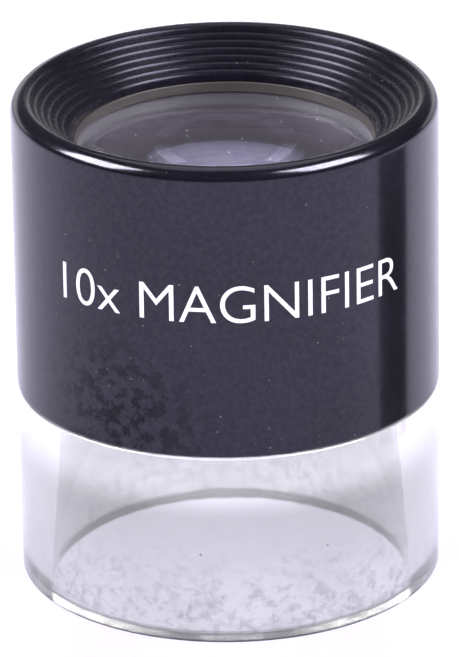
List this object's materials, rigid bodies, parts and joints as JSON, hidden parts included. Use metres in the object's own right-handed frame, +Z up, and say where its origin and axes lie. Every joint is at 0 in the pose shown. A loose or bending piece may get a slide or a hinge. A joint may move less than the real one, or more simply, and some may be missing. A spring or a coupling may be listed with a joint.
{
  "type": "stand loupe",
  "caption": "Cylindrical stand loupe: a black barrel with a ridged eyecup and cemented lenses turns on a clear threaded base to focus on the film it stands on.",
  "frame": {"origin": "centre of the clear base's foot ring, on the surface the loupe stands on", "axes": "+Z up along the optical axis; -Y is the side of the barrel that carries the printed marking; +X to the right of someone facing that side"},
  "size_m": [0.042, 0.042, 0.0495],
  "materials": {
    "clear_acrylic": "polished clear",
    "black_plastic": "satin gloss, moulded",
    "black_anodised": "black anodised, matt",
    "crown_glass": "polished",
    "flint_glass": "polished",
    "cushion_rubber": "matt"
  },
  "bodies": {
    "base": {"clear_base": "clear_acrylic"},
    "optics": {"eye_flint_lens": "flint_glass", "eye_crown_lens": "crown_glass", "lens_spacer": "black_anodised", "field_crown_lens": "crown_glass", "field_flint_lens": "flint_glass", "cushion_ring": "cushion_rubber"},
    "housing": {"barrel": "black_plastic", "lens_cell": "black_anodised", "cell_lock_ring": "black_anodised", "retaining_ring": "black_anodised"}
  },
  "joints": [
    {"name": "focus_lift", "type": "slide", "parent": "base", "child": "optics", "axis": [0, 0, 1], "range_m": [0, 0.0045]},
    {"name": "focus_turn", "type": "hinge", "parent": "optics", "child": "housing", "pos_m": [0, 0, 0.0258], "axis": [0, 0, 1], "range_deg": [0, 1080]}
  ],
  "couplings": [
    {"joint": "focus_turn", "follows": "focus_lift", "rad_per_m": 4188.8}
  ]
}
